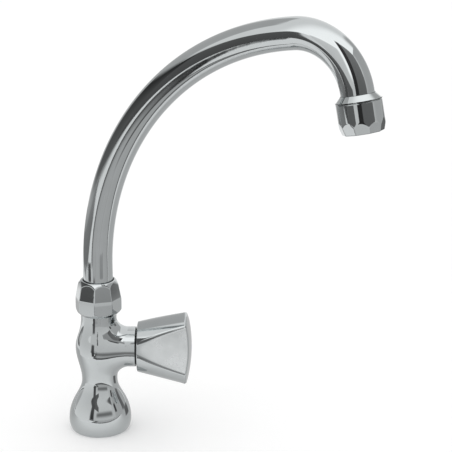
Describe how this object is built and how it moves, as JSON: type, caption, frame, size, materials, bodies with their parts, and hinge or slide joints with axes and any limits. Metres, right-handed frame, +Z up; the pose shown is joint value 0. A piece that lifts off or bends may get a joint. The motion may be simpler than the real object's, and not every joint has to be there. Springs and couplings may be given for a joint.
{
  "type": "basin tap",
  "caption": "Basin tap: a bell-footed casting, a swan-neck tube spout that swivels under a union nut, and a scooped conical knob on a side branch that turns a screw-down valve.",
  "frame": {"origin": "centre of the foot's underside, at the mouth of the inlet thread, where the tap stands on the basin", "axes": "+Z up along the casting and the spout's swivel axis; +X the way the spout points at rest; the handle's branch points 32.7 degrees from +X towards +Y"},
  "size_m": [0.2293, 0.0747, 0.2972],
  "materials": {
    "polished_chrome": "polished",
    "turned_brass": "machined",
    "spring_steel": "satin",
    "black_rubber": "matt",
    "white_plastic": "moulded",
    "grey_plastic": "moulded",
    "blue_plastic": "gloss"
  },
  "bodies": {
    "tap_body": {"body_casting": "polished_chrome", "base_seal": "black_rubber", "valve_seat": "turned_brass", "bonnet": "turned_brass", "bonnet_gasket": "black_rubber", "spout_union_nut": "polished_chrome", "thrust_washer": "white_plastic", "friction_ring": "white_plastic", "wiper_ring": "black_rubber"},
    "spout": {"spout_tube": "polished_chrome", "spout_ferrule": "turned_brass", "lower_spout_seal": "black_rubber", "upper_spout_seal": "black_rubber", "outlet_sleeve": "polished_chrome", "aerator_housing": "polished_chrome", "aerator_seal": "black_rubber", "aerator_insert": "grey_plastic", "aerator_screen": "spring_steel"},
    "handle": {"handle_knob": "polished_chrome", "spline_insert": "white_plastic", "handle_screw": "spring_steel", "index_cap": "polished_chrome", "index_dot": "blue_plastic", "spindle": "turned_brass", "inner_spindle_seal": "black_rubber", "outer_spindle_seal": "black_rubber", "nose_washer": "white_plastic", "spindle_circlip": "spring_steel"},
    "valve": {"valve_carrier": "turned_brass", "seat_washer": "black_rubber", "washer_screw": "turned_brass"}
  },
  "joints": [
    {"name": "spout_swivel", "type": "hinge", "parent": "tap_body", "child": "spout", "pos_m": [0, 0, 0.0975], "axis": [0, 0, 1], "continuous": true},
    {"name": "handle_turn", "type": "hinge", "parent": "tap_body", "child": "handle", "pos_m": [0, 0, 0.05975], "axis": [0.8415, 0.5402, 0], "range_deg": [0, 900]},
    {"name": "valve_lift", "type": "slide", "parent": "tap_body", "child": "valve", "axis": [0.8415, 0.5402, 0], "range_m": [0, 0.005]}
  ],
  "couplings": [
    {"joint": "valve_lift", "follows": "handle_turn", "m_per_rad": 0.0003183}
  ]
}
